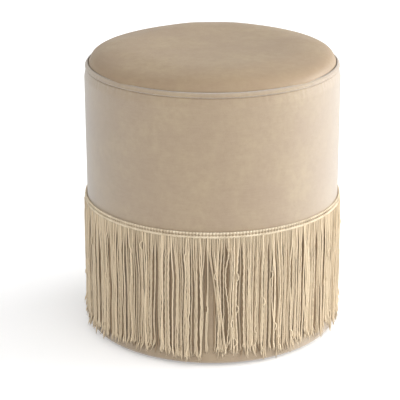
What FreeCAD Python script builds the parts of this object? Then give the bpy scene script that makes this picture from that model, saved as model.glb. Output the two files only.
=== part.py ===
# Round upholstered tuffet with a crowned velvet seat, a topstitched seam and a deep yarn fringe.
# Millimetres, +Z up, front towards -Y, origin at the centre of the base on the floor.
# Each sub-part is written to parts/NODE.step as one or more closed solids.
# Soft layers are turned from straight-sided profiles, so that their round faces stay light.

import FreeCAD, Part
import math
import os

# Overall sizes
body_diameter = 350.0
overall_height = 400.0

# Clearance between curved faces that lie against each other
fit_gap = 0.2

# Velvet cover
velvet_thickness = 1.5
lower_edge_round = 9.0
edge_facets = 2
edge_lining_facets = 1
velvet_turn_under = 22.0
upper_seam_drop = 18.5
seam_band_height = 8.4
seam_draw_in = 4.0
stitch_draw_in = 2.5
band_draw_in = 2.0
draw_in_height = 14.0

# Crown of the seat
crown_shoulder_width = 75.0
crown_fullness = 2.3
crown_facets = 3
crown_lining_facets = 2

# Padding
seat_foam_thickness = 40.0
side_foam_thickness = 8.0

# Wooden carcass
base_board_thickness = 15.0
top_board_thickness = 12.0
shell_thickness = 3.0
shell_joint_gap = 1.0
post_count = 4
post_width = 32.0
post_depth = 28.0
post_edge_chamfer = 2.0
brad_width = 2.0
brad_thickness = 1.6
brad_length = 45.0
brad_spacing = 14.0

# Underside
glide_count = 4
glide_diameter = 24.0
glide_height = 3.0
glide_inset = 40.0
glide_pin_width = 2.0
glide_pin_length = 12.0
glide_pin_cover = 1.5
dust_cover_thickness = 0.6
dust_cover_inset = 7.0

# Staples
staple_crown = 10.0
staple_wire_width = 0.9
staple_wire_thickness = 0.5
staple_leg = 8.0
cover_staples_per_post = 3
cover_staple_inset = 18.0
dust_staples_per_post = 2
dust_staple_inset = 5.0

# Fringe trim
header_top_height = 192.0
header_width = 9.0
header_thickness = 1.6
header_bead_rise = 0.8
lock_count = 60
lock_gap = 0.9
lock_thickness = 3.4
lock_facets = 3
lock_root_share = 0.85
lock_tip_share = 0.4
lock_taper_length = 22.0
lock_sway = 0.8
tip_height = 27.0
tip_height_spread = 8.0

# Radii, from the velvet inwards
body_radius = body_diameter / 2
foam_depth = velvet_thickness + fit_gap
shell_radius = body_radius - foam_depth - side_foam_thickness - fit_gap
board_radius = shell_radius - shell_thickness - fit_gap
seam_radius = body_radius - seam_draw_in
stitch_radius = body_radius - stitch_draw_in
band_radius = body_radius - band_draw_in
turn_under_radius = board_radius - velvet_turn_under

# Heights, from the floor upwards
cover_underside = glide_height + dust_cover_thickness
base_underside = cover_underside + velvet_thickness
base_top = base_underside + base_board_thickness
seat_foam_top = overall_height - foam_depth
seat_top = seat_foam_top - seat_foam_thickness
top_board_underside = seat_top - top_board_thickness
upper_seam_height = overall_height - upper_seam_drop
stitch_height = upper_seam_height - seam_band_height

# Posts stand with their outer corners on the edge of the boards
post_centre_radius = math.sqrt(board_radius ** 2 - (post_width / 2) ** 2) - post_depth / 2
post_length = top_board_underside - base_top
glide_ring_radius = board_radius - glide_inset


def at(radius, height):
    return FreeCAD.Vector(radius, 0, height)


def quarter_round(centre_radius, centre_height, width, height, facets, fullness=2.0):
    """Profile points from the widest point up, or down if height is negative.

    A fullness of 2 gives a quarter ellipse, and more gives a squarer shoulder.
    """
    turns = [math.pi / 2 * i / facets for i in range(facets)]
    points = [at(centre_radius + width * math.cos(t) ** (2 / fullness),
                 centre_height + height * math.sin(t) ** (2 / fullness)) for t in turns]
    return points + [at(centre_radius, centre_height + height)]


def revolved(points):
    """A closed profile of points, turned once round the upright axis."""
    face = Part.Face(Part.makePolygon(points + points[:1]))
    return face.revolve(at(0, 0), FreeCAD.Vector(0, 0, 1), 360)


def turned(shape, degrees):
    copy = shape.copy()
    copy.rotate(at(0, 0), FreeCAD.Vector(0, 0, 1), degrees)
    return copy


def ring_of(shape, count, first_degrees=0.0):
    return [turned(shape, first_degrees + 360.0 * i / count) for i in range(count)]


def drilled(shape, cutters):
    return shape.cut(Part.makeCompound(cutters)).Solids[0]


def crown(depth, facets):
    """Profile of the seat's top, at a depth below the velvet: a soft wide shoulder up to the middle."""
    rim = seam_radius - depth
    middle = seam_radius - crown_shoulder_width
    top = overall_height - depth
    shoulder = quarter_round(middle, upper_seam_height, rim - middle, top - upper_seam_height,
                             facets, crown_fullness)
    return shoulder + [at(0, top)]


def side_wall(depth, facets):
    """Profile of the padded side, at a depth below the velvet, up to where the seam draws it in."""
    radius = body_radius - depth
    underside = cover_underside + min(depth, velvet_thickness)
    corner = lower_edge_round - depth
    low = quarter_round(radius - corner, underside + corner, corner, -corner, facets)
    return low[::-1] + [at(radius, stitch_height - draw_in_height)]


def top_panel():
    """The crowned velvet round, sewn to the side panel at the upper seam."""
    return revolved(crown(0.0, crown_facets) + crown(velvet_thickness, crown_lining_facets)[::-1])


def side_panel():
    """The velvet side, with a stitched band at the top and its lower edge turned under the base."""
    lining = velvet_thickness
    band = [at(stitch_radius, stitch_height), at(band_radius, (stitch_height + upper_seam_height) / 2)]
    outside = [at(turn_under_radius, cover_underside)] + side_wall(0.0, edge_facets) + band
    outside += [at(seam_radius, upper_seam_height)]
    inside = [at(turn_under_radius, base_underside)] + side_wall(lining, edge_lining_facets)
    inside += [at(seam_radius - lining, upper_seam_height)]
    return revolved(outside + inside[::-1])


def seat_foam():
    """A crowned foam pad on the top board, inside the stitched band."""
    rim = shell_radius
    return revolved([at(rim, upper_seam_height)] + crown(foam_depth, crown_lining_facets)[1:]
                    + [at(0, seat_top), at(rim, seat_top)])


def side_foam():
    """A foam wrap round the shell and the seat foam, which fills the velvet up to its seam."""
    inner = shell_radius + fit_gap
    return revolved(side_wall(foam_depth, edge_lining_facets)
                    + [at(seam_radius - foam_depth, upper_seam_height), at(inner, upper_seam_height),
                       at(inner, base_underside)])


def board(underside, thickness):
    return Part.makeCylinder(board_radius, thickness, at(0, underside))


def post():
    """A square batten with chamfered long edges."""
    corner = FreeCAD.Vector(post_centre_radius - post_depth / 2, -post_width / 2, base_top)
    block = Part.makeBox(post_depth, post_width, post_length, corner)
    long_edges = [e for e in block.Edges if abs(e.Length - post_length) < fit_gap]
    return block.makeChamfer(post_edge_chamfer, long_edges)


def side_shell():
    """A bent board glued round the carcass, with its two edges butted together at the back."""
    inner = shell_radius - shell_thickness
    tube = revolved([at(inner, base_underside), at(shell_radius, base_underside),
                     at(shell_radius, seat_top), at(inner, seat_top)])
    joint = Part.makeBox(shell_joint_gap, body_radius, overall_height,
                         FreeCAD.Vector(-shell_joint_gap / 2, 0, 0))
    return tube.cut(joint)


def brad_ring(underside):
    """Two headless brads for each post, driven flush through a board into the post's end."""
    brads = []
    for side in (-brad_spacing / 2, brad_spacing / 2):
        corner = FreeCAD.Vector(post_centre_radius - brad_thickness / 2, side - brad_width / 2,
                                underside)
        brads += ring_of(Part.makeBox(brad_thickness, brad_width, brad_length, corner), post_count)
    return brads


def staple():
    """A staple with its crown on the origin along Y, driven towards +Z."""
    half = staple_crown / 2
    crown_bar = Part.makeBox(staple_wire_width, staple_crown, staple_wire_thickness,
                             FreeCAD.Vector(-staple_wire_width / 2, -half, 0))
    legs = [Part.makeBox(staple_wire_width, staple_wire_thickness, staple_leg,
                         FreeCAD.Vector(-staple_wire_width / 2, side, 0))
            for side in (-half, half - staple_wire_thickness)]
    return crown_bar.fuse(legs).removeSplitter()


def staple_ring(radius, height, per_post):
    """A ring of upward staples, placed midway between the posts."""
    count = post_count * per_post
    one = staple()
    one.translate(at(radius, height))
    return ring_of(one, count, 180.0 / count)


def glide():
    """A low round plastic foot."""
    return Part.makeCylinder(glide_diameter / 2, glide_height, at(glide_ring_radius, 0))


def glide_pin():
    """The square steel pin moulded into a glide, driven up into the base board."""
    corner = at(glide_ring_radius - glide_pin_width / 2, glide_pin_cover)
    corner.y = -glide_pin_width / 2
    return Part.makeBox(glide_pin_width, glide_pin_width, glide_pin_length, corner)


def dust_cover():
    radius = board_radius - dust_cover_inset
    return Part.makeCylinder(radius, dust_cover_thickness, at(0, glide_height))


def fringe_header():
    """A narrow braid with two raised rows, which the fringe hangs from."""
    inner = body_radius + fit_gap
    outer = inner + header_thickness
    low = header_top_height - header_width
    row = header_width / 2
    front = []
    for start in (low, low + row):
        front += [at(outer, start), at(outer + header_bead_rise, start + row / 2)]
    return revolved(front + [at(inner, header_top_height), at(inner, low)])


def lock_section(height, angle, shift, scale):
    """A flat-backed, rounded section of one lock of yarn, lying against the velvet."""
    back = body_radius + fit_gap
    width = (2 * math.pi * back / lock_count - lock_gap - 2 * lock_sway) * scale
    thickness = lock_thickness * scale
    outward = FreeCAD.Vector(math.cos(angle), math.sin(angle), 0)
    along = FreeCAD.Vector(-math.sin(angle), math.cos(angle), 0)
    front = [math.pi * i / lock_facets for i in range(lock_facets + 1)]
    points = [outward * (back + thickness * math.sin(t)) + along * (shift + width / 2 * math.cos(t))
              + at(0, height) for t in front]
    return points


def flat_faced(sections):
    """A solid with flat faces between sections that differ only in place and scale."""
    faces = [Part.Face(Part.makePolygon(ring + ring[:1])) for ring in (sections[0], sections[-1])]
    for upper, lower in zip(sections, sections[1:]):
        for i in range(len(upper)):
            corners = [upper[i - 1], upper[i], lower[i], lower[i - 1], upper[i - 1]]
            faces.append(Part.Face(Part.makePolygon(corners)))
    solid = Part.Solid(Part.Shell(faces))
    solid.fix(fit_gap / 1000, fit_gap / 1000, fit_gap / 1000)
    return solid


def fringe_lock(index):
    """One lock of the fringe, hung from the header, with its own sway and tip height."""
    angle = 2 * math.pi * index / lock_count
    sway = lock_sway * math.sin(2.4 * index)
    tip = tip_height + tip_height_spread * math.sin(1.7 * index) * math.cos(0.9 * index)
    root = header_top_height - header_width
    return flat_faced([lock_section(root, angle, 0.0, lock_root_share),
                       lock_section((root + tip) / 2, angle, sway, 1.0),
                       lock_section(tip + lock_taper_length, angle, -sway, 1.0),
                       lock_section(tip, angle, 0.0, lock_tip_share)])


def fringe():
    return [fringe_lock(index) for index in range(lock_count)]


def save(name, shapes):
    """Writes one node. A group of like pieces is a compound of separate solids."""
    shape = shapes[0] if len(shapes) == 1 else Part.makeCompound(shapes)
    shape.exportStep("parts/" + name + ".step")
    print(name, len(shape.Solids), "solids", round(shape.Volume / 1000, 2), "cm3",
          "valid" if shape.isValid() else "NOT VALID")


def main():
    os.makedirs("parts", exist_ok=True)
    base_brads = brad_ring(base_underside)
    top_brads = brad_ring(seat_top - brad_length)
    cover_row = staple_ring(board_radius - cover_staple_inset, cover_underside,
                            cover_staples_per_post)
    dust_row = staple_ring(board_radius - dust_cover_inset - dust_staple_inset, glide_height,
                           dust_staples_per_post)
    first_glide = 180.0 / glide_count
    pins = ring_of(glide_pin(), glide_count, first_glide)
    glides = [drilled(foot, pins) for foot in ring_of(glide(), glide_count, first_glide)]

    save("base_board", [drilled(board(base_underside, base_board_thickness),
                                base_brads + cover_row + dust_row + pins)])
    save("top_board", [drilled(board(top_board_underside, top_board_thickness), top_brads)])
    for number, shape in enumerate(ring_of(post(), post_count), start=1):
        save("post_%d" % number, [drilled(shape, base_brads + top_brads)])
    save("side_shell", [side_shell()])
    save("base_brads", base_brads)
    save("top_brads", top_brads)

    save("side_foam", [side_foam()])
    save("seat_foam", [seat_foam()])
    save("top_panel", [top_panel()])
    save("side_panel", [drilled(side_panel(), cover_row + dust_row)])
    save("cover_staples", cover_row)

    save("fringe_header", [fringe_header()])
    save("fringe", fringe())

    save("dust_cover", [drilled(dust_cover(), dust_row + pins)])
    save("dust_cover_staples", dust_row)
    save("glides", glides)
    save("glide_pins", pins)


main()
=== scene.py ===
"""A round velvet tuffet with a topstitched seat seam and a deep yarn fringe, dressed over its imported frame.

Metres, +Z up, front towards -Y. Sizes and places are read from the frame's nodes, or named below.
"""

import math

import bpy
import numpy as np
from mathutils import Matrix, Vector


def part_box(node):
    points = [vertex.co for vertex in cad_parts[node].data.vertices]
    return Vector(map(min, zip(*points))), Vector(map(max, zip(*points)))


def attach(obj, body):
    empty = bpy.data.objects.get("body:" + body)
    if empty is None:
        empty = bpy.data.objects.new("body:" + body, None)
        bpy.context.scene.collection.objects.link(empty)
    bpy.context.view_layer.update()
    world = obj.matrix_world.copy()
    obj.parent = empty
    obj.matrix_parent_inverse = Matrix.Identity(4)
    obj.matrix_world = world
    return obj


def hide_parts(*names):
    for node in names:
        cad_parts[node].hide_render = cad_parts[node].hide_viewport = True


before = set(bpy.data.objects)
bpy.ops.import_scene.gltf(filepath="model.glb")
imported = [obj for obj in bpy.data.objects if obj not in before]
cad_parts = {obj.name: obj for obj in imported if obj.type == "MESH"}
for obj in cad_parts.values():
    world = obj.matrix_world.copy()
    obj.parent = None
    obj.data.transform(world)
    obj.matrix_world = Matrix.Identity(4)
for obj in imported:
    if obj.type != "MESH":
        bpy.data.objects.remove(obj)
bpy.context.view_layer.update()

MM = 0.001
FULL_TURN = 2 * math.pi
chance = np.random.default_rng(20)

# Camera, fitted to the outline, the braid line and the seat seam
CAMERA_PLACE = (0.0, -2.0922, 0.9215)
CAMERA_LENS = 141.906
CAMERA_SENSOR = 36.0
CAMERA_PITCH = 0.3425
CAMERA_YAW = -0.0083
CAMERA_ROLL = -0.0023

# Light
AMBIENT_LEAST = 0.07
AMBIENT_MOST = 1.62
AMBIENT_AZIMUTH = math.radians(30)
KEY_STRENGTH = 4.6
KEY_SPREAD = math.radians(56)
KEY_AZIMUTH = math.radians(104)
KEY_ELEVATION = math.radians(4)
FLOOR_RADIUS = 8.0
FLOOR_THICKNESS = 10 * MM
FLOOR_LIFT = 0.31

# Places read from the frame. The photo shows the upper seam a little lower than the solid has it
SEAM_DROP = 3 * MM
BODY_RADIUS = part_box("side_panel")[1].x
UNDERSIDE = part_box("side_panel")[0].z
SEAM_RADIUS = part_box("top_panel")[1].x
SEAM_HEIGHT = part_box("top_panel")[0].z - SEAM_DROP
SEAT_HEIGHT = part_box("top_panel")[1].z
BRAID_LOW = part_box("fringe_header")[0].z
BRAID_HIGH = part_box("fringe_header")[1].z
FOAM_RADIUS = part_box("side_foam")[1].x
PAD_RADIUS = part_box("seat_foam")[1].x
PAD_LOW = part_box("seat_foam")[0].z
PAD_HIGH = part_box("seat_foam")[1].z
LINING_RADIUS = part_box("dust_cover")[1].x
LINING_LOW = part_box("dust_cover")[0].z
LINING_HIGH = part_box("dust_cover")[1].z

# Velvet cover
VELVET = 1.5 * MM
BAND_HEIGHT = 5.6 * MM
STITCH_HEIGHT = SEAM_HEIGHT - BAND_HEIGHT
STITCH_DRAW = 2.5 * MM
DRAW_IN_HEIGHT = 14 * MM
GROOVE_DEPTH = 1.3 * MM
GROOVE_WIDTH = 1.1 * MM
BAND_FULLNESS = 1.5 * MM
BAND_DIMPLE = 0.5 * MM
PUCKER_REACH = 7 * MM
EDGE_ROUND = 5.5 * MM
TURN_UNDER = 26 * MM
SIDE_SEGMENTS = 560
STITCH_COUNT = 248
STITCH_THREAD = 0.38 * MM
CROWN_FLATNESS = 12
CROWN_FULLNESS = 0.62
SEAT_EASE = 1.05
SEAT_LINES = 81
FILL_RISE = 2.5 * MM
FILL_FRAMES = 20
SMOOTHING_PASSES = 60

# Velvet colours
VELVET_DEEP = (0.345, 0.250, 0.162)
VELVET_PALE = (0.395, 0.298, 0.184)
VELVET_BRUSHED = (0.318, 0.226, 0.142)
VELVET_TIPS = (0.45, 0.35, 0.235)
# Painted shade for the shoulder of the seat
VELVET_SHOULDER_SHADE = (0.300, 0.210, 0.140)

# Braid and yarn
BACK_RADIUS = BODY_RADIUS + 0.2 * MM
TAPE_THICKNESS = 0.9 * MM
CHAIN_HEIGHT = BRAID_HIGH + 0.1 * MM
CHAIN_LINKS = 252
RIDGE_HEIGHT = BRAID_LOW + 3.9 * MM
CORD_TWISTS = 126
YARN_ROOT = RIDGE_HEIGHT - 0.6 * MM
YARN_RADIUS = 0.95 * MM
YARN_GLEAM = (1.0, 0.96, 0.88, 1.0)
INNER_YARNS = 330
OUTER_YARNS = 500
OUTER_PIECES = 4
STRAY_YARNS = 90
FIBRE_RADIUS = 0.42 * MM
TIP_HEIGHT = 20 * MM
LOCK_TIP_SPREAD = 2.6 * MM
YARN_TIP_SPREAD = 3.6 * MM
LOWEST_TIP = 7 * MM
HIGHEST_TIP = 44 * MM
LOWEST_FIBRE = 4.5 * MM

# The gap in front, at an angle in radians, and the bundle beside it that leans to the right
PART_PLACE = -0.031
PART_WIDTH = 8 * MM
PART_LEAN = 17 * MM
PART_REACH = 12 * MM


def ease(value, start=0.0, end=1.0):
    """0 before start, 1 after end, and a smooth step between them."""
    t = np.clip((value - start) / (end - start), 0, 1)
    return t * t * (3 - 2 * t)


def bell(value, centre, width):
    """1 at the centre, and less and less on both sides of it."""
    return np.exp(-(((value - centre) / width) ** 2))


def round_the_drum(radius, angle, height):
    """Points at a radius, an angle from the front towards the right, and a height."""
    radius, angle, height = np.broadcast_arrays(radius, angle, height)
    return np.stack([radius * np.sin(angle), -radius * np.cos(angle), height], -1)


def even_angles(count):
    """Angles at even steps once round."""
    return FULL_TURN * np.arange(count) / count


def waves(angle, counts, size):
    """A smooth random ripple that closes on itself round the drum."""
    total = np.zeros_like(angle, dtype=float)
    for count in counts:
        total += np.sin(count * angle + chance.uniform(0, FULL_TURN))
    return size * total / math.sqrt(len(counts))


# Meshes


def grid_faces(rows, columns, wrap_rows):
    """Corner indices of the quads of a grid whose columns wrap round, with the same corners not wrapped."""
    row, column = np.meshgrid(np.arange(rows if wrap_rows else rows - 1), np.arange(columns), indexing="ij")
    rows_at = np.stack([row, row, row + 1, row + 1], -1).reshape(-1, 4)
    columns_at = np.stack([column, column + 1, column + 1, column], -1).reshape(-1, 4)
    return (rows_at % rows) * columns + columns_at % columns, rows_at, columns_at


def lay_out(mesh, places):
    """Gives a mesh smooth shading and its texture layout, with a place for each of its first corners."""
    layout = np.zeros((len(mesh.loops), 2), np.float32)
    layout[:len(places)] = places
    mesh.uv_layers.new(name="OFBake").data.foreach_set("uv", layout.ravel())
    mesh.polygons.foreach_set("use_smooth", np.ones(len(mesh.polygons), bool))


def ring_object(name, points, wrap_rows=False, tints_and_light=None):
    """A mesh of one or more tubes or turned forms.

    points[i, j, k] is point k of ring j of tube i. Each tube gets its own strip of the texture layout, and
    closed ends unless its rings wrap.
    """
    tubes, rows, columns = points.shape[:3]
    faces, rows_at, columns_at = grid_faces(rows, columns, wrap_rows)
    first = np.arange(tubes)[:, None, None] * rows * columns
    quads = (faces[None] + first).reshape(-1, 4).tolist()
    ends = []
    if not wrap_rows:
        ring = np.arange(columns)
        starts = (first[:, 0] + ring[::-1]).tolist()
        tips = (first[:, 0] + (rows - 1) * columns + ring).tolist()
        ends = starts + tips
    mesh = bpy.data.meshes.new(name)
    mesh.from_pydata(points.reshape(-1, 3).tolist(), [], quads + ends)

    across = (np.arange(tubes)[:, None, None] + columns_at[None] / columns) / tubes
    along = np.broadcast_to(rows_at[None] / (rows if wrap_rows else rows - 1), across.shape)
    lay_out(mesh, np.stack([across.ravel(), along.ravel()], -1))
    if tints_and_light is not None:
        shade = mesh.attributes.new("tint_and_light", "FLOAT", "POINT")
        shade.data.foreach_set("value", np.repeat(tints_and_light, rows * columns).astype(np.float32))
    mesh.validate()
    mesh.update()
    return linked(name, mesh)


def linked(name, mesh):
    """An object for the mesh, in the scene."""
    made = bpy.data.objects.new(name, mesh)
    bpy.context.scene.collection.objects.link(made)
    return made


def unit(vectors):
    """The same directions at length 1."""
    return vectors / np.maximum(np.linalg.norm(vectors, axis=-1, keepdims=True), 1e-12)


def tubes_along(centres, radii, sides, closed=False):
    """Rings of points round centre lines. centres is (tubes, points, 3) and radii (tubes, points)."""
    if closed:
        tangent = unit(np.roll(centres, -1, 1) - np.roll(centres, 1, 1))
    else:
        tangent = unit(np.gradient(centres, axis=1))
    outward = unit(centres * np.array([1, 1, 0]))
    across = unit(np.cross(tangent, outward))
    front = np.cross(across, tangent)
    turn = even_angles(sides)[:, None]
    ring = np.cos(turn) * across[:, :, None] + np.sin(turn) * front[:, :, None]
    return centres[:, :, None] + radii[:, :, None, None] * ring


def turned(profile, segments):
    """Rings of a form turned round the upright axis. profile is a list of (radius, height)."""
    radius, height = np.array(profile).T
    return round_the_drum(radius[:, None], even_angles(segments)[None], height[:, None])[None]


def finished(piece, material, slot, *nodes):
    """Gives a piece its material, and lets it stand for its CAD nodes."""
    piece.data.materials.append(material)
    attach(piece, "root")
    if nodes:
        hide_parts(*nodes)
    return piece


# Materials


class Finish:
    """A node material with one main shader, and short ways to add what feeds it.

    The keywords are the names of the shader's sockets.
    """

    def __init__(self, name, roughness, **sockets):
        self.material = bpy.data.materials.new(name)
        self.material.use_nodes = True
        self.nodes = self.material.node_tree.nodes
        self.links = self.material.node_tree.links
        self.shader = self.nodes["Principled BSDF"]
        self.shader.inputs["Roughness"].default_value = roughness
        for socket, value in sockets.items():
            label = socket.replace("_", " ").title().replace("Ior", "IOR")
            self.shader.inputs[label].default_value = value
        self.place = self.nodes.new("ShaderNodeTexCoord").outputs["Object"]

    def node(self, kind, **inputs):
        made = self.nodes.new(kind)
        for name, value in inputs.items():
            self.feed(made.inputs[name.replace("_", " ").capitalize()], value)
        return made

    def feed(self, socket, value):
        if isinstance(value, bpy.types.NodeSocket):
            self.links.new(value, socket)
        else:
            socket.default_value = value

    def stretched(self, x, y, z):
        """The place on the object, scaled differently along each axis."""
        node = self.nodes.new("ShaderNodeMapping")
        self.links.new(self.place, node.inputs["Vector"])
        node.inputs["Scale"].default_value = (x, y, z)
        return node.outputs["Vector"]

    def noise(self, size, detail=3.0, rough=0.55, place=None):
        """Soft random values with features about size across."""
        return self.node("ShaderNodeTexNoise", vector=place or self.place, scale=1 / size, detail=detail,
                         roughness=rough).outputs["Fac"]

    def ramp(self, value, low, high, start=0.0, end=1.0):
        node = self.node("ShaderNodeMapRange", value=value)
        node.inputs["From Min"].default_value = low
        node.inputs["From Max"].default_value = high
        node.inputs["To Min"].default_value = start
        node.inputs["To Max"].default_value = end
        return node.outputs["Result"]

    def math(self, operation, *values):
        node = self.nodes.new("ShaderNodeMath")
        node.operation = operation
        for socket, value in zip(node.inputs, values):
            self.feed(socket, value)
        return node.outputs["Value"]

    def blend(self, factor, first, second, mode="MIX"):
        node = self.nodes.new("ShaderNodeMix")
        node.data_type = "RGBA"
        node.blend_type = mode
        colours = [s for s in node.inputs if s.type == "RGBA"]
        self.feed(node.inputs["Factor"], factor)
        for socket, colour in zip(colours, (first, second)):
            self.feed(socket, colour if isinstance(colour, bpy.types.NodeSocket) else (*colour, 1.0))
        return [s for s in node.outputs if s.type == "RGBA"][0]

    def attribute(self, name):
        node = self.nodes.new("ShaderNodeAttribute")
        node.attribute_name = name
        return node.outputs["Fac"]

    def from_axis(self):
        """Distance from the upright axis."""
        parts = self.node("ShaderNodeSeparateXYZ", vector=self.place)
        squares = [self.math("MULTIPLY", parts.outputs[axis], parts.outputs[axis]) for axis in "XY"]
        return self.math("SQRT", self.math("ADD", *squares))

    def layout(self):
        node = self.nodes.new("ShaderNodeUVMap")
        node.uv_map = "OFBake"
        parts = self.node("ShaderNodeSeparateXYZ", vector=node.outputs["UV"])
        return parts.outputs["X"], parts.outputs["Y"]

    def colour(self, socket):
        self.feed(self.shader.inputs["Base Color"], socket)
        return self

    def roughness(self, socket):
        self.feed(self.shader.inputs["Roughness"], socket)
        return self

    def bump(self, height, depth, strength=1.0):
        """Raises the surface by up to depth. A second bump lies over the first."""
        node = self.node("ShaderNodeBump", height=height, strength=strength, distance=depth)
        before = self.shader.inputs["Normal"].links
        if before:
            self.links.new(before[0].from_socket, node.inputs["Normal"])
        self.links.new(node.outputs["Normal"], self.shader.inputs["Normal"])
        return self


def velvet(name, gleam, spread, shoulder_shade=False):
    """Short pile in soft clouds, brushed a little unevenly. The gleam is what the standing pile catches.

    Where the seat turns over its shoulder, a deeper, pinker colour is painted in as shade.
    """
    finish = Finish(name, 0.45, specular_ior_level=0.6, ior=1.3, sheen_weight=gleam, sheen_roughness=spread,
                    sheen_tint=(0.96, 0.98, 1.0, 1.0))
    cloud = finish.ramp(finish.noise(55 * MM, 3.0, 0.6), 0.36, 0.64)
    pile = finish.noise(1.1 * MM, 4.0, 0.7)
    brushed = finish.noise(9 * MM, 5.0, 0.7)
    weft = finish.noise(1.6 * MM, 2.0, 0.5, finish.stretched(0.1, 0.1, 1))
    base = finish.blend(cloud, VELVET_DEEP, VELVET_PALE)
    base = finish.blend(finish.ramp(brushed, 0.38, 0.66, 0.0, 0.7), base, VELVET_BRUSHED)
    base = finish.blend(finish.ramp(weft, 0.4, 0.7, 0.0, 0.16), base, VELVET_TIPS)
    base = finish.blend(finish.ramp(pile, 0.35, 0.7, 0.0, 0.35), base, VELVET_TIPS)
    # Painted shade: the shoulder of the seat is coloured deeper and pinker
    if shoulder_shade:
        shoulder_start, shoulder_end = 0.82 * SEAM_RADIUS, 0.96 * SEAM_RADIUS
        shoulder = finish.ramp(finish.from_axis(), shoulder_start, shoulder_end, 0.0, 0.3)
        base = finish.blend(shoulder, base, VELVET_SHOULDER_SHADE)
    finish.colour(base)
    finish.roughness(finish.ramp(pile, 0.3, 0.7, 0.40, 0.53))
    return finish.bump(pile, 0.35 * MM, 0.7).bump(brushed, 0.5 * MM, 0.35).material


def yarn(name, strands, dark, light, gleam):
    """Loosely twisted yarn: two plies that wind round each strand with painted shade between them, fine
    fibres, and an uneven tone, partly painted light.
    """
    twist = 300.0
    finish = Finish(name, 0.7, specular_ior_level=0.3, sheen_weight=gleam, sheen_roughness=0.5,
                    sheen_tint=YARN_GLEAM)
    across, along = finish.layout()
    turn = finish.math("MULTIPLY_ADD", across, FULL_TURN * strands, finish.math("MULTIPLY", along, twist))
    ply = finish.math("ABSOLUTE", finish.math("SINE", turn))
    fibres = finish.noise(0.5 * MM, 3.0, 0.7, finish.stretched(1, 1, 0.25))
    base = finish.blend(finish.attribute("tint_and_light"), dark, light)
    # Painted shade in the grooves between the plies
    base = finish.blend(finish.ramp(ply, 0.0, 0.45, 0.45, 0.0), base, dark, "MULTIPLY")
    base = finish.blend(finish.ramp(fibres, 0.35, 0.7, 0.0, 0.4), base, light)
    finish.colour(base)
    finish.roughness(finish.ramp(fibres, 0.3, 0.7, 0.6, 0.85))
    return finish.bump(ply, 0.25 * MM, 0.8).bump(fibres, 0.1 * MM, 0.6).material


def braid_thread(name, dark, light):
    """Thread of fine fibres, a little darker in patches."""
    finish = Finish(name, 0.7, specular_ior_level=0.3, sheen_weight=0.4, sheen_roughness=0.5,
                    sheen_tint=YARN_GLEAM)
    fibres = finish.noise(0.45 * MM, 4.0, 0.7)
    patches = finish.noise(14 * MM, 2.0)
    base = finish.blend(finish.ramp(patches, 0.35, 0.65), dark, light)
    base = finish.blend(finish.ramp(fibres, 0.4, 0.7, 0.0, 0.3), base, dark)
    finish.colour(base)
    finish.roughness(finish.ramp(fibres, 0.3, 0.7, 0.6, 0.85))
    return finish.bump(fibres, 0.15 * MM, 0.8).material


def foam():
    """Pale foam with open cells."""
    finish = Finish("foam", 0.95, sheen_weight=0.2)
    bubbles = finish.node("ShaderNodeTexVoronoi", vector=finish.place, scale=1 / (1.2 * MM))
    cells = bubbles.outputs["Distance"]
    base = finish.blend(finish.ramp(cells, 0.1, 0.6), (0.72, 0.66, 0.45), (0.86, 0.82, 0.62))
    finish.colour(base)
    finish.roughness(finish.ramp(cells, 0.0, 0.7, 0.85, 1.0))
    return finish.bump(cells, 0.4 * MM, 0.7).material


def wood(name, grain_axes, dark, light, roughness):
    """Long grain along the axis with the smallest scale."""
    finish = Finish(name, roughness, specular_ior_level=0.35)
    grain = finish.noise(4 * MM, 5.0, 0.6, finish.stretched(*grain_axes))
    pores = finish.noise(0.8 * MM, 3.0, 0.6, finish.stretched(*grain_axes))
    base = finish.blend(finish.ramp(grain, 0.35, 0.65), dark, light)
    base = finish.blend(finish.ramp(pores, 0.5, 0.75, 0.0, 0.5), base, dark)
    finish.colour(base)
    finish.roughness(finish.ramp(grain, 0.3, 0.7, roughness - 0.1, roughness + 0.1))
    return finish.bump(pores, 0.15 * MM, 0.6).material


def plywood():
    """Thin plies that lie flat, light and dark in turn."""
    finish = Finish("plywood", 0.6, specular_ior_level=0.35)
    plies = finish.node("ShaderNodeTexWave", vector=finish.stretched(0, 0, 1), scale=75.0)
    plies.bands_direction = "Z"
    grain = finish.noise(3 * MM, 5.0, 0.6, finish.stretched(0.06, 1, 1))
    base = finish.blend(plies.outputs["Fac"], (0.50, 0.35, 0.20), (0.68, 0.52, 0.33))
    base = finish.blend(finish.ramp(grain, 0.4, 0.7, 0.0, 0.5), base, (0.42, 0.28, 0.15))
    finish.colour(base)
    finish.roughness(finish.ramp(grain, 0.3, 0.7, 0.5, 0.7))
    return finish.bump(grain, 0.15 * MM, 0.6).material


def pressed_board(name, dark, light, size):
    """Board of pressed chips or fibres about size across."""
    finish = Finish(name, 0.65, specular_ior_level=0.35)
    chips = finish.noise(size, 4.0, 0.7)
    dust = finish.noise(0.4 * MM, 2.0)
    base = finish.blend(finish.ramp(chips, 0.35, 0.65), dark, light)
    base = finish.blend(finish.ramp(dust, 0.4, 0.7, 0.0, 0.3), base, light)
    finish.colour(base)
    finish.roughness(finish.ramp(chips, 0.3, 0.7, 0.55, 0.75))
    return finish.bump(chips, 0.1 * MM, 0.5).material


def drawn_wire(name, tone):
    """Bare wire with fine streaks along it."""
    finish = Finish(name, 0.35, metallic=1.0)
    streaks = finish.noise(0.5 * MM, 3.0, 0.6, finish.stretched(1, 1, 0.1))
    base = finish.blend(finish.ramp(streaks, 0.3, 0.7), (tone * 0.75,) * 3, (tone, tone, tone * 1.02))
    finish.colour(base)
    finish.roughness(finish.ramp(streaks, 0.3, 0.7, 0.25, 0.45))
    return finish.bump(streaks, 0.03 * MM, 0.5).material


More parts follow.
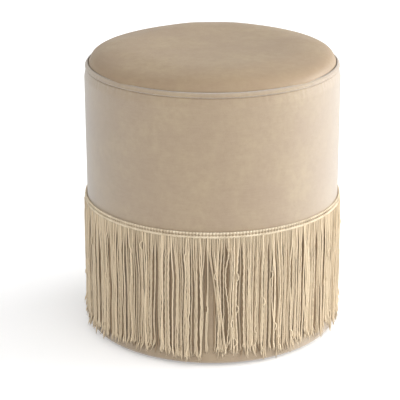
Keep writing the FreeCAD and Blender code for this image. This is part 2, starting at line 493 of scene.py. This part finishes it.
def moulded_plastic():
    """Dark plastic, scuffed a little."""
    finish = Finish("glide_plastic", 0.5, specular_ior_level=0.5)
    scuffs = finish.noise(2.5 * MM, 4.0, 0.7)
    base = finish.blend(finish.ramp(scuffs, 0.45, 0.75), (0.030, 0.027, 0.025), (0.075, 0.070, 0.065))
    finish.colour(base)
    finish.roughness(finish.ramp(scuffs, 0.3, 0.7, 0.4, 0.65))
    return finish.bump(finish.noise(0.4 * MM, 2.0), 0.05 * MM, 0.4).material


def bonded_lining():
    """Thin black cloth of pressed fibres, with a fine grid of bond points."""
    finish = Finish("lining", 0.8, sheen_weight=0.15)
    points = finish.node("ShaderNodeTexVoronoi", vector=finish.place, scale=1 / (1.6 * MM))
    dots = finish.ramp(points.outputs["Distance"], 0.15, 0.4)
    fibres = finish.noise(1.2 * MM, 4.0, 0.7)
    base = finish.blend(finish.ramp(fibres, 0.4, 0.7), (0.022, 0.022, 0.023), (0.05, 0.05, 0.052))
    finish.colour(base)
    finish.roughness(finish.ramp(dots, 0.0, 1.0, 0.5, 0.9))
    return finish.bump(dots, 0.12 * MM, 0.6).material


def studio_floor():
    """White paper, which the camera sees a little paler than it is, so that only the shadow shows."""
    finish = Finish("studio_floor", 0.9, specular_ior_level=0.0)
    grain = finish.noise(60 * MM, 2.0)
    finish.colour(finish.blend(grain, (0.90, 0.90, 0.90), (0.905, 0.905, 0.905)))
    seen = seen_rays(finish.nodes, finish.links)
    finish.shader.inputs["Emission Color"].default_value = (1, 1, 1, 1)
    finish.feed(finish.shader.inputs["Emission Strength"], finish.math("MULTIPLY", seen, FLOOR_LIFT))
    return finish.material


# Velvet cover


def side_radius(height):
    """Outside radius of the side cover at each height: drawn in to the stitching, then a soft sewn band."""
    drawn = STITCH_DRAW * ease(height, STITCH_HEIGHT - DRAW_IN_HEIGHT, STITCH_HEIGHT)
    band = np.clip((height - STITCH_HEIGHT) / BAND_HEIGHT, 0, 1)
    fullness = BAND_FULLNESS * np.sin(math.pi * band) ** 0.7 - BAND_DIMPLE * bell(band, 0.52, 0.13)
    tuck = (BODY_RADIUS - STITCH_DRAW - SEAM_RADIUS) * band ** 3
    groove = GROOVE_DEPTH * bell(height, STITCH_HEIGHT, GROOVE_WIDTH)
    return BODY_RADIUS - drawn + fullness * (band > 0) - tuck - groove


def side_heights():
    """Heights of the wall's rings, closer together where it draws in and closest over the sewn band."""
    wall_low = UNDERSIDE + EDGE_ROUND
    wall_high = STITCH_HEIGHT - DRAW_IN_HEIGHT
    groove_low = STITCH_HEIGHT - 2.5 * MM
    wall = np.linspace(wall_low, wall_high, 44, endpoint=False)
    drawn = np.linspace(wall_high, groove_low, 10, endpoint=False)
    return np.concatenate([wall, drawn, np.linspace(groove_low, SEAM_HEIGHT, 30)])


def side_slack(angle, height):
    """How far the wall stands off its even form: waves, puckers by the stitches, and the back seam."""
    above_base = ease(height, UNDERSIDE, UNDERSIDE + 20 * MM)
    slack = waves(angle, (2, 3, 5, 7), 0.25 * MM) * np.sin(math.pi * (height - UNDERSIDE) / SEAM_HEIGHT)
    slack = slack + waves(angle, (4, 9, 11), 0.15 * MM) * np.cos(7 * height / SEAM_HEIGHT)
    near_stitches = np.exp(-np.abs(height - STITCH_HEIGHT) / PUCKER_REACH)
    pucker = waves(angle, (97, 131, 149, 173), 0.22 * MM) * near_stitches
    from_seam = np.abs(angle - math.pi) * BODY_RADIUS
    back_seam = 0.5 * MM * bell(from_seam, 4 * MM, 2 * MM) - 1.2 * MM * bell(from_seam, 0, 1.3 * MM)
    return above_base * (slack + pucker + back_seam)


def side_outside(angle):
    """Rings of the outer face, from the strip turned under the base up to the seam."""
    inner = BODY_RADIUS - EDGE_ROUND
    corner = np.linspace(-math.pi / 2, 0, 8, endpoint=False)
    heights = side_heights()
    radius = np.concatenate([[inner - TURN_UNDER, inner - TURN_UNDER / 2],
                             inner + EDGE_ROUND * np.cos(corner), side_radius(heights)])[:, None]
    height = np.concatenate([[UNDERSIDE, UNDERSIDE],
                             UNDERSIDE + EDGE_ROUND * (1 + np.sin(corner)), heights])[:, None]
    return round_the_drum(radius + side_slack(angle, height), angle, height)


def side_inside(angle):
    """Rings of the inner face, from the lip at the seam down to the hem under the base."""
    inner = BODY_RADIUS - EDGE_ROUND
    heights = np.array([SEAM_HEIGHT - 1 * MM, STITCH_HEIGHT, STITCH_HEIGHT - DRAW_IN_HEIGHT,
                        UNDERSIDE + EDGE_ROUND])
    radius = np.concatenate([[SEAM_RADIUS - 1.2 * MM], side_radius(heights) - VELVET,
                             [inner, inner - TURN_UNDER]])
    height = np.concatenate([[SEAM_HEIGHT + 1.3 * MM], heights, [UNDERSIDE + VELVET, UNDERSIDE + VELVET]])
    return round_the_drum(radius[:, None], angle, height[:, None])


def side_cover(material):
    """The side skin: turned under at the base, a full wall, puckers by the stitches, and a seam behind."""
    angle = even_angles(SIDE_SEGMENTS)
    rings = np.concatenate([side_outside(angle), side_inside(angle)])
    piece = ring_object("side_cover", rings[None], wrap_rows=True)
    return finished(piece, material, "velvet", "side_panel")


def seat_grid(lines):
    """A square grid of lines bent into a disc, as places from -1 to 1, with its quads."""
    step = np.linspace(-1, 1, lines)
    x, y = np.meshgrid(step, step)
    disc = np.stack([x * np.sqrt(1 - y ** 2 / 2), y * np.sqrt(1 - x ** 2 / 2)], -1).reshape(-1, 2)
    row, column = np.meshgrid(np.arange(lines - 1), np.arange(lines - 1), indexing="ij")
    corner = (row * lines + column).ravel()
    return disc, np.stack([corner, corner + 1, corner + lines + 1, corner + lines], -1)


def crown_height(share):
    """Height of the seat at a share of the seam's radius: almost flat, with a soft shoulder."""
    fall = np.clip(share, 0, 1) ** CROWN_FLATNESS
    return SEAM_HEIGHT + (SEAT_HEIGHT - SEAM_HEIGHT) * (1 - fall) ** CROWN_FULLNESS


def puff_up(piece, most):
    """Fills a pinned cover by cloth simulation, and keeps every point within most of where it started."""
    start = np.array([v.co for v in piece.data.vertices])
    cloth = piece.modifiers.new("fill", "CLOTH")
    cloth.settings.quality = 6
    cloth.settings.mass = 0.25
    cloth.settings.tension_stiffness = 25
    cloth.settings.compression_stiffness = 20
    cloth.settings.bending_stiffness = 2.0
    cloth.settings.use_pressure = True
    cloth.settings.uniform_pressure_force = 4
    cloth.settings.vertex_group_mass = "seam"
    cloth.settings.effector_weights.gravity = 0
    for number in range(1, FILL_FRAMES + 1):
        bpy.context.scene.frame_set(number)
    shown = piece.evaluated_get(bpy.context.evaluated_depsgraph_get())
    moved = np.array([v.co for v in shown.data.vertices]) - start
    piece.modifiers.remove(cloth)
    bpy.context.scene.frame_set(1)
    size = np.linalg.norm(moved, axis=1, keepdims=True)
    moved *= np.minimum(1, most / np.maximum(size, 1e-9))
    piece.data.vertices.foreach_set("co", (start + even_out(moved)).ravel())
    piece.data.update()


def even_out(moved):
    """Smooths the moves of a square grid of points, so that the filled cover has no small ripples."""
    lines = round(math.sqrt(len(moved)))
    field = moved.reshape(lines, lines, 3)
    for _ in range(SMOOTHING_PASSES):
        padded = np.pad(field, ((1, 1), (1, 1), (0, 0)), "edge")
        beside = padded[2:, 1:-1] + padded[:-2, 1:-1] + padded[1:-1, 2:] + padded[1:-1, :-2]
        field = 0.5 * field + 0.125 * beside
    return field.reshape(-1, 3)


def seat_folds(points, share):
    """Small rises of the filled cover: gathers along the seam, a loose dish, and a fuller back."""
    fullest_at = 2.5
    angle = np.arctan2(points[:, 0], -points[:, 1])
    gather = waves(angle, (89, 113, 137, 151), 0.3 * MM) * bell(share, 0.97, 0.03) * (share < 0.99)
    dish = waves(angle, (2, 3, 4), 0.5 * MM) * bell(share, 0.7, 0.25)
    fuller_back = 1.3 * MM * share ** 2 * np.cos(angle - fullest_at) * (1 - share ** CROWN_FLATNESS)
    return gather + dish + fuller_back


def seat_cover(material):
    """The crowned velvet round, filled by simulation and gathered a little along its seam."""
    disc, quads = seat_grid(SEAT_LINES)
    share = np.linalg.norm(disc, axis=1)
    height = crown_height(share) - FILL_RISE * (1 - share ** 2)
    mesh = bpy.data.meshes.new("seat_cover")
    mesh.from_pydata(np.column_stack([disc * SEAM_RADIUS, height]).tolist(), [], quads.tolist())
    lay_out(mesh, disc[quads.ravel()] / (2 * SEAT_EASE) + 0.5)
    piece = linked("seat_cover", mesh)
    rim = np.flatnonzero(share > 0.985)
    piece.vertex_groups.new(name="seam").add(rim.tolist(), 1.0, "REPLACE")
    puff_up(piece, FILL_RISE)

    points = np.array([v.co for v in mesh.vertices])
    points[:, 2] += seat_folds(points, share)
    mesh.vertices.foreach_set("co", points.ravel())
    finished(piece, material, "velvet", "top_panel")
    thicken = piece.modifiers.new("thickness", "SOLIDIFY")
    thicken.thickness = VELVET
    thicken.offset = -1
    refine = piece.modifiers.new("smooth", "SUBSURF")
    refine.levels = refine.render_levels = 1
    return piece


def topstitching(material):
    """Short thread stitches that lie in the groove under the sewn band."""
    half_stitch = 0.36
    proud = 0.35 * MM
    along = np.linspace(-1, 1, 5)
    angle = FULL_TURN * (np.arange(STITCH_COUNT)[:, None] + half_stitch * along) / STITCH_COUNT
    dip = 0.45 * MM * np.abs(along) ** 3
    radius = side_radius(np.array([STITCH_HEIGHT])) + proud - dip
    centres = round_the_drum(radius, angle, STITCH_HEIGHT)
    radii = np.broadcast_to(STITCH_THREAD * np.where(np.abs(along) < 1, 1.0, 0.6), angle.shape)
    return finished(ring_object("topstitching", tubes_along(centres, radii, 6)), material, "velvet")


# Padding and lining


def seat_pad(material):
    """The crowned foam pad, with cut edges that are a little uneven."""
    inside = PAD_RADIUS - 0.5 * MM
    shares = np.linspace(0.02, 0.96, 14)
    give = SEAT_HEIGHT - PAD_HIGH + 3.5 * MM
    top = [(inside * s, crown_height(s * inside / SEAM_RADIUS) - give) for s in shares]
    edge = [(inside, SEAM_HEIGHT - 6 * MM), (inside, PAD_LOW + 6 * MM), (inside - MM, PAD_LOW + 0.5 * MM)]
    underside = [(inside * 0.5, PAD_LOW + 0.2 * MM), (inside * 0.02, PAD_LOW + 0.2 * MM)]
    segments = 180
    rings = turned((top + edge + underside)[::-1], segments)
    angle = even_angles(segments)
    rings *= 1 + np.array([1, 1, 0]) * waves(angle, (5, 13, 29), 0.001)[:, None]
    piece = finished(ring_object("seat_pad", rings), material, "foam", "seat_foam")
    return piece


def side_padding(material):
    """The foam wrap between the shell and the velvet, with a butted joint at the back."""
    outer = FOAM_RADIUS - 0.5 * MM
    inner = PAD_RADIUS + 0.4 * MM
    heights = np.linspace(UNDERSIDE + EDGE_ROUND, STITCH_HEIGHT - DRAW_IN_HEIGHT, 14)
    front = [(outer - 7 * MM, UNDERSIDE + 2 * MM)] + [(outer, h) for h in heights]
    front += [(outer - STITCH_DRAW, STITCH_HEIGHT), (outer - 5 * MM, SEAM_HEIGHT - 2 * MM)]
    segments = 240
    rings = turned(front + [(inner, SEAM_HEIGHT - 2 * MM), (inner, UNDERSIDE + 2 * MM)], segments)
    angle = even_angles(segments)
    joint = 1 - 0.004 * bell(angle, math.pi, 0.02)
    rings[:, :-2, :, :2] *= (joint * (1 + waves(angle, (7, 19, 31), 0.0006)))[:, None]
    piece = finished(ring_object("side_padding", rings, wrap_rows=True), material, "foam", "side_foam")
    return piece


def dust_lining(material):
    """The stapled lining under the base, with a folded hem and small tension folds from the staples."""
    angle = even_angles(288)
    radius = np.array([0.02, 0.3, 0.6, 0.82, 0.92, 0.955, 0.965, 0.985, 1.0])[:, None] * LINING_RADIUS
    hem = ease(radius, 0.955 * LINING_RADIUS, 0.965 * LINING_RADIUS)
    sag = 0.35 * MM * (1 - (radius / LINING_RADIUS) ** 2)
    folds = 0.15 * MM * np.sin(8 * angle) * bell(radius, 0.88 * LINING_RADIUS, 0.1 * LINING_RADIUS)
    lower = round_the_drum(radius, angle, LINING_LOW + 0.25 * MM - sag + folds - 0.25 * MM * hem)
    upper = round_the_drum(radius, angle, np.full_like(radius, LINING_HIGH))
    rings = np.concatenate([upper, lower[::-1]])
    piece = finished(ring_object("dust_lining", rings[None]), material, "lining", "dust_cover")
    return piece


# Braid


def hoop(name, radius, height, thickness, sides, material):
    """A closed thread round the drum. radius and height are given at even steps of angle."""
    centres = round_the_drum(radius, even_angles(len(radius)), height)[None]
    radii = np.full(centres.shape[:2], thickness)
    piece = ring_object(name, tubes_along(centres, radii, sides, closed=True), wrap_rows=True)
    return finished(piece, material, "braid")


def braid_tape(material):
    """The flat woven ground of the braid, ribbed across."""
    rib_count = 1008
    angle = even_angles(2 * rib_count)
    ribs = 0.12 * MM * np.cos(rib_count * angle)
    low, high = RIDGE_HEIGHT - 1.6 * MM, CHAIN_HEIGHT + 1.0 * MM
    face = BACK_RADIUS + TAPE_THICKNESS
    profile = ((BACK_RADIUS, low), (face, low), (face, (low + high) / 2), (face - 0.3 * MM, high),
               (BACK_RADIUS, high))
    rings = [round_the_drum(r + ribs * (r > BACK_RADIUS), angle, h) for r, h in profile]
    piece = ring_object("braid_tape", np.array(rings)[None], wrap_rows=True)
    return finished(piece, material, "braid", "fringe_header")


def braid_chain(material):
    """A row of plump links along the top edge, each of two short plies that cross."""
    share = np.linspace(0, 1, 9)
    swell = np.sin(math.pi * share) ** 0.6
    gap = 0.06
    angle = FULL_TURN * (np.arange(CHAIN_LINKS)[:, None] + gap + (1 - 2 * gap) * share) / CHAIN_LINKS
    uneven = chance.uniform(0.88, 1.1, (CHAIN_LINKS, 1))
    plies = []
    for side in (-1, 1):
        height = CHAIN_HEIGHT + side * 0.8 * MM * swell * np.cos(math.pi * share) + 0.3 * MM * (share - 0.5)
        radius = BACK_RADIUS + TAPE_THICKNESS + 1.1 * MM * swell * uneven
        centres = round_the_drum(radius, angle, height)
        plies.append(tubes_along(centres, (0.35 + 0.9 * swell) * MM * uneven, 6))
    return finished(ring_object("braid_chain", np.concatenate(plies)), material, "braid")


def braid_ties(material):
    """Small stitches that hold the chain to the cord below it, one under each link."""
    thread = 0.55 * MM
    share = np.linspace(0, 1, 5)
    angle = FULL_TURN * (np.arange(CHAIN_LINKS)[:, None] + 0.5 + 0.12 * share) / CHAIN_LINKS
    start, end = CHAIN_HEIGHT - 0.8 * MM, RIDGE_HEIGHT + 0.8 * MM
    height = start + (end - start) * share
    radius = BACK_RADIUS + (1.3 + 0.3 * np.sin(math.pi * share)) * MM
    rings = tubes_along(round_the_drum(radius, angle, height), np.full(angle.shape, thread), 5)
    return finished(ring_object("braid_ties", rings), material, "braid")


def braid_cord(material):
    """A soft two-ply cord that covers the root of the yarn."""
    ply = 1.22 * MM
    steps_per_twist = 14
    phase = FULL_TURN * np.arange(CORD_TWISTS * steps_per_twist) / steps_per_twist
    plies = []
    for number, shift in enumerate((0.0, math.pi), start=1):
        height = RIDGE_HEIGHT + 0.62 * MM * np.sin(phase + shift)
        radius = BACK_RADIUS + 2.0 * MM + 0.55 * MM * np.cos(phase + shift)
        plies.append(hoop(f"braid_cord_{number}", radius, height, ply, 8, material))
    return plies


# Fringe


class Strands:
    """Centre lines of hanging strands, worked out in steps from the braid, at 0, to the tip, at 1.

    side, out and rise say how far each step lies to the right, off the velvet and up from its even place.
    """

    def __init__(self, count, rings, depth, spread, thickness):
        self.count = count
        self.step = np.linspace(0, 1, rings)[None]
        self.angle = even_angles(count)[:, None]
        self.side = chance.uniform(-0.8, 0.8, (count, 1)) * MM * ease(self.step, 0.0, 0.12)
        proud = chance.uniform(0, 1, (count, 1)) ** 1.5
        self.out = depth + spread * (0.25 + (proud - 0.25) * ease(self.step, 0.0, 0.15))
        self.rise = np.zeros((count, rings))
        self.tip = np.full((count, 1), TIP_HEIGHT)
        self.radius = thickness * chance.uniform(0.85, 1.15, count)[:, None] * np.ones((1, rings))
        # Each strand's tone is random, and painted lighter the further it stands out, as painted light and
        # shade.
        self.tint_and_light = np.clip(0.25 + 0.75 * chance.beta(1.4, 1.6, count) * (0.5 + 0.6 * proud[:, 0]), 0, 1)

    def wander(self, owners, size, longest, shortest):
        """A smooth random curve for each owner, such as a strand or a lock, that starts at nothing."""
        total = np.zeros((owners, self.step.size))
        for _ in range(3):
            length = chance.uniform(shortest, longest, (owners, 1))
            start = chance.uniform(0, FULL_TURN, (owners, 1))
            total += np.sin(FULL_TURN * self.step / length + start) - np.sin(start)
        return size * total / 3

    def gather(self, smallest, largest, closeness, sway):
        """Draws neighbours together into locks, whose gaps open below the braid and wander."""
        sizes = chance.integers(smallest, largest + 1, self.count)
        lock = np.searchsorted(np.cumsum(sizes), np.arange(self.count), side="right")
        locks = lock.max() + 1
        centre = np.array([self.angle[lock == i].mean() for i in range(locks)])[lock][:, None]
        opening = ease(self.step, 0.04, chance.uniform(0.16, 0.4, locks)[lock][:, None])
        close = chance.uniform(0.35, 1.0, locks)[lock][:, None] * closeness
        self.side += (centre - self.angle) * BACK_RADIUS * close * opening
        self.side += self.wander(locks, sway, 1.6, 0.5)[lock] * opening
        self.out += np.abs(self.wander(locks, 0.5 * MM, 1.2, 0.4))[lock] * opening
        self.tip = self.tip + chance.normal(0, LOCK_TIP_SPREAD, locks)[lock][:, None]
        return self

    def stray(self):
        """Each strand's own lie: slow wander, fine crimp, a free tip, and its own length."""
        free = ease(self.step, 0.02, 0.2)
        self.side += self.wander(self.count, 0.55 * MM, 0.9, 0.25) * free
        self.out += self.wander(self.count, 0.35 * MM, 0.7, 0.2) * free
        crimp = chance.uniform(0.06, 0.42, (self.count, 1)) ** 1.3 * MM
        crimps = chance.uniform(10, 19, (self.count, 1))
        self.side += crimp * np.sin(FULL_TURN * self.step * crimps) * free
        loose = ease(self.step, 0.9, 1.0) ** 2
        self.side += chance.standard_t(3, (self.count, 1)).clip(-4, 4) * 1.3 * MM * loose
        self.out += np.abs(chance.normal(0, 1.2 * MM, (self.count, 1))) * loose
        self.tip = self.tip + chance.normal(0, YARN_TIP_SPREAD, (self.count, 1))
        return self

    def curl(self, share):
        """Puts a small kink or loop into some of the strands, and paints them lighter as highlight."""
        lift = 1.3 * MM
        chosen = np.flatnonzero(chance.random(self.count) < share)
        place = chance.uniform(0.06, 0.94, (len(chosen), 1))
        span = chance.uniform(0.05, 0.075, (len(chosen), 1))
        turn = np.clip((self.step - place) / span + 0.5, 0, 1) * FULL_TURN
        size = chance.uniform(0.5, 1.7, (len(chosen), 1)) * MM * chance.choice([-1, 1], (len(chosen), 1))
        self.side[chosen] += size * (1 - np.cos(turn))
        self.rise[chosen] += np.abs(size) * 1.3 * np.sin(turn)
        self.out[chosen] += lift * np.sin(turn / 2)
        # Painted highlight: the curled strands are coloured lighter
        self.tint_and_light[chosen] = np.maximum(self.tint_and_light[chosen], 0.75)
        return self

    def parted(self, lift):
        """Leans a bundle beside one place to the right over its neighbours, so that the velvet shows."""
        offset = (self.angle + math.pi) % FULL_TURN - math.pi - PART_PLACE
        along = offset * BODY_RADIUS
        bundle = (along > 0) & (along < PART_WIDTH)
        start = 0.12
        fall = np.clip((self.step - start) / (1 - start), 0, 1)
        lean = PART_LEAN * fall - 0.45 * (along - PART_WIDTH / 2) * ease(fall, 0, 0.3)
        self.side = np.where(bundle, 0.35 * self.side + lean, self.side)
        self.out += np.where(bundle, lift * ease(self.step, 0.1, 0.35), 0)
        place = along + self.side
        left = (along <= 0) & (along > -PART_REACH)
        right = (along >= PART_WIDTH) & (along < PART_WIDTH + PART_REACH)
        self.side = np.where(left, np.minimum(place, -0.4 * MM) - along, self.side)
        self.side = np.where(right, np.maximum(place, PART_WIDTH) - along, self.side)
        return self

    def lines(self, root):
        """The centre lines as points, from the root down, clear of the velvet and the floor."""
        tip = np.clip(self.tip, LOWEST_TIP, HIGHEST_TIP)
        height = root + (tip - root) * self.step + self.rise
        near = BACK_RADIUS + self.radius * 0.9
        radius = np.maximum(BACK_RADIUS + self.out, near)
        return round_the_drum(radius, self.angle + self.side / BODY_RADIUS, height)

    def build(self, name, root, sides, material, chosen=slice(None)):
        """One piece with all strands, or with the chosen ones."""
        taper = 1 + 0.18 * bell(self.step, 0.97, 0.02) - 0.5 * ease(self.step, 0.985, 1.0)
        centres = self.lines(root)[chosen]
        rings = tubes_along(centres, (self.radius * taper)[chosen], sides)
        return finished(ring_object(name, rings, tints_and_light=self.tint_and_light[chosen]), material, "yarn")

    def frayed(self, name, root, fibres, material):
        """Fine fibres that fan out from the cut end of each strand."""
        lines = np.repeat(self.lines(root)[:, -3:], fibres, axis=0)
        start, end = lines[:, :1], lines[:, 2:]
        count, steps = len(lines), 6
        angle = np.arctan2(end[..., :1], -end[..., 1:2])
        across = round_the_drum(1.0, angle[..., 0] + math.pi / 2, 0.0)
        outward = round_the_drum(1.0, angle[..., 0], 0.0)
        along = np.linspace(0, 1, steps)[None, :, None]
        lean = chance.normal(0, 1.3 * MM, (count, 1, 1)) * across
        lean = lean + np.abs(chance.normal(0, 0.8 * MM, (count, 1, 1))) * outward
        length = chance.uniform(1.2, 2.2, (count, 1, 1))
        centres = start + (end - start) * along * length + lean * along ** 2
        centres[..., 2] = np.maximum(centres[..., 2], LOWEST_FIBRE)
        radii = np.broadcast_to(FIBRE_RADIUS * (1 - 0.6 * along[..., 0]), (count, steps))
        tints_and_light = np.repeat(self.tint_and_light, fibres)
        return finished(ring_object(name, tubes_along(centres, radii, 4), tints_and_light=tints_and_light), material, "yarn")


def fringe_under(material):
    """The inner layer, close to the velvet and in the shade of the outer one, painted darker as that shade.
    """
    strands = Strands(INNER_YARNS, rings=40, depth=0.9 * MM, spread=0.3 * MM, thickness=YARN_RADIUS)
    strands.gather(3, 8, closeness=0.35, sway=1.2 * MM).stray().parted(lift=0.4 * MM)
    # Painted shade: the inner strands are coloured darker
    strands.tint_and_light *= 0.6
    return strands.build("fringe_under", YARN_ROOT, 5, material)


def fringe_over(material):
    """The outer layer, in locks of uneven width, built as pieces round the drum, and its frayed ends."""
    strands = Strands(OUTER_YARNS, rings=96, depth=1.7 * MM, spread=2.2 * MM, thickness=YARN_RADIUS)
    strands.gather(2, 5, closeness=0.3, sway=0.6 * MM).gather(7, 16, closeness=0.3, sway=1.3 * MM)
    strands.stray().curl(share=0.12).parted(lift=1.6 * MM)
    shares = np.array_split(np.arange(OUTER_YARNS), OUTER_PIECES)
    pieces = [strands.build(f"fringe_over_{number}", YARN_ROOT, 5, material, chosen)
              for number, chosen in enumerate(shares, start=1)]
    return pieces + [strands.frayed("fringe_ends", YARN_ROOT, 3, material)]


def fringe_strays(material):
    """Single strands that lie over the rest, painted lighter as highlight, with wider bends and loops."""
    most_shift = 9 * MM
    strands = Strands(STRAY_YARNS, rings=110, depth=3.4 * MM, spread=1.2 * MM, thickness=0.9 * YARN_RADIUS)
    strands.angle += chance.uniform(-1, 1, (STRAY_YARNS, 1)) * most_shift / BODY_RADIUS
    bends = strands.wander(STRAY_YARNS, size=2.4 * MM, longest=1.5, shortest=0.5)
    strands.side += bends * ease(strands.step, 0.0, 0.3)
    strands.stray().curl(share=0.5).parted(lift=0.8 * MM)
    # Painted highlight: the strays are coloured lighter
    strands.tint_and_light = 0.7 + 0.3 * strands.tint_and_light
    return strands.build("fringe_strays", YARN_ROOT, 5, material)


# Studio


def direction(azimuth, elevation=0.0):
    """A way from the tuffet, at an angle from the front towards the right and an angle above level."""
    level = math.cos(elevation)
    return Vector((level * math.sin(azimuth), -level * math.cos(azimuth), math.sin(elevation)))


def camera():
    """The photo's camera: where it stands, how long its lens is, and how it is turned."""
    forward = Vector((math.sin(CAMERA_YAW) * math.cos(CAMERA_PITCH),
                      math.cos(CAMERA_YAW) * math.cos(CAMERA_PITCH), -math.sin(CAMERA_PITCH)))
    level = Vector((math.cos(CAMERA_YAW), -math.sin(CAMERA_YAW), 0))
    up = level.cross(forward)
    right = math.cos(CAMERA_ROLL) * level + math.sin(CAMERA_ROLL) * up
    top = math.cos(CAMERA_ROLL) * up - math.sin(CAMERA_ROLL) * level
    made = bpy.data.objects.new("camera", bpy.data.cameras.new("camera"))
    made.data.lens = CAMERA_LENS
    made.data.sensor_width = CAMERA_SENSOR
    turn = Matrix((right, top, -forward)).transposed().to_4x4()
    made.matrix_world = Matrix.Translation(CAMERA_PLACE) @ turn
    bpy.context.scene.collection.objects.link(made)
    bpy.context.scene.camera = made


def key_light():
    """A broad soft light from the right, a little behind the tuffet and low."""
    lamp = bpy.data.lights.new("key", "SUN")
    lamp.energy = KEY_STRENGTH
    lamp.angle = KEY_SPREAD
    made = bpy.data.objects.new("key", lamp)
    made.rotation_mode = "QUATERNION"
    made.rotation_quaternion = direction(KEY_AZIMUTH, KEY_ELEVATION).to_track_quat("Z", "Y")
    bpy.context.scene.collection.objects.link(made)


def seen_rays(nodes, links):
    """1 for what the camera sees straight, in a gloss or through something clear, and 0 for the rest."""
    path = nodes.new("ShaderNodeLightPath")
    total = path.outputs["Is Camera Ray"]
    for kind in ("Is Glossy Ray", "Is Transmission Ray"):
        either = nodes.new("ShaderNodeMath")
        either.operation = "MAXIMUM"
        links.new(total, either.inputs[0])
        links.new(path.outputs[kind], either.inputs[1])
        total = either.outputs["Value"]
    return total


def surroundings():
    """White light from all round, strongest from the front right. The camera sees it as plain white."""
    world = bpy.data.worlds.new("studio")
    world.use_nodes = True
    nodes, links = world.node_tree.nodes, world.node_tree.links
    light = nodes["Background"]
    light.inputs["Color"].default_value = (1, 1, 1, 1)
    towards = nodes.new("ShaderNodeVectorMath")
    towards.operation = "DOT_PRODUCT"
    links.new(nodes.new("ShaderNodeTexCoord").outputs["Generated"], towards.inputs[0])
    towards.inputs[1].default_value = direction(AMBIENT_AZIMUTH)
    brighten = nodes.new("ShaderNodeMapRange")
    links.new(towards.outputs["Value"], brighten.inputs["Value"])
    brighten.inputs["From Min"].default_value = -1
    brighten.inputs["To Min"].default_value = AMBIENT_LEAST
    brighten.inputs["To Max"].default_value = AMBIENT_MOST
    links.new(brighten.outputs["Result"], light.inputs["Strength"])
    seen = nodes.new("ShaderNodeBackground")
    seen.inputs["Color"].default_value = (1, 1, 1, 1)
    choose = nodes.new("ShaderNodeMixShader")
    links.new(seen_rays(nodes, links), choose.inputs["Fac"])
    links.new(light.outputs["Background"], choose.inputs[1])
    links.new(seen.outputs["Background"], choose.inputs[2])
    links.new(choose.outputs["Shader"], nodes["World Output"].inputs["Surface"])
    bpy.context.scene.world = world


def floor(material):
    """A wide round sheet under the tuffet."""
    middle = 10 * MM
    profile = [(middle, -FLOOR_THICKNESS), (FLOOR_RADIUS, -FLOOR_THICKNESS), (FLOOR_RADIUS, 0), (middle, 0)]
    made = ring_object("floor", turned(profile, 64))
    made.data.materials.append(material)


# The whole scene


def dress_frame():
    """Gives every CAD node that stays its own material."""
    steel = drawn_wire("steel_wire", 0.55)
    staple_steel = drawn_wire("staple_wire", 0.6)
    pine = wood("pine", (1, 1, 0.05), (0.52, 0.34, 0.18), (0.76, 0.58, 0.36), 0.6)
    finishes = {
        "base_board": pressed_board("fibreboard", (0.36, 0.24, 0.14), (0.50, 0.36, 0.23), 2.5 * MM),
        "top_board": plywood(),
        "side_shell": pressed_board("hardboard", (0.20, 0.115, 0.06), (0.33, 0.20, 0.11), 1.2 * MM),
        "base_brads": steel, "top_brads": steel, "glide_pins": steel,
        "cover_staples": staple_steel, "dust_cover_staples": staple_steel,
        "glides": moulded_plastic(),
        "post_1": pine, "post_2": pine, "post_3": pine, "post_4": pine,
    }
    for name, finish in finishes.items():
        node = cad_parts[name]
        node.data.materials.clear()
        node.data.materials.append(finish)


def dress_tuffet():
    """Makes every soft piece and the trim."""
    side_velvet = velvet("velvet", gleam=0.6, spread=0.62)
    # The seat's velvet has painted shade on its shoulder
    seat_velvet = velvet("velvet_seat", gleam=0.0, spread=0.3, shoulder_shade=True)
    padding = foam()
    thread = braid_thread("braid", (0.62, 0.51, 0.36), (0.80, 0.69, 0.52))
    # The ground is the braid's own thread, painted darker as the shade in the gaps between the links
    ground = braid_thread("braid_ground_painted_shade", (0.44, 0.34, 0.23), (0.56, 0.45, 0.32))
    # The inner yarn is the outer yarn, painted darker as shade
    shade = yarn("yarn_inner", INNER_YARNS, (0.27, 0.19, 0.115), (0.48, 0.36, 0.23), 0.1)
    bright = yarn("yarn", OUTER_YARNS // OUTER_PIECES, (0.36, 0.27, 0.17), (0.86, 0.715, 0.51), 0.3)

    seat = seat_cover(seat_velvet)
    side = side_cover(side_velvet)
    stitches = topstitching(side_velvet)
    seat_pad(padding)
    side_padding(padding)
    dust_lining(bonded_lining())

    trim = [braid_tape(ground), braid_chain(thread), braid_ties(thread), *braid_cord(thread)]
    outer = fringe_over(bright)
    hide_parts("fringe")
    trim += [fringe_under(shade), *outer, fringe_strays(bright)]


bpy.context.scene.view_settings.view_transform = "Standard"
camera()
surroundings()
key_light()
floor(studio_floor())
dress_frame()
dress_tuffet()
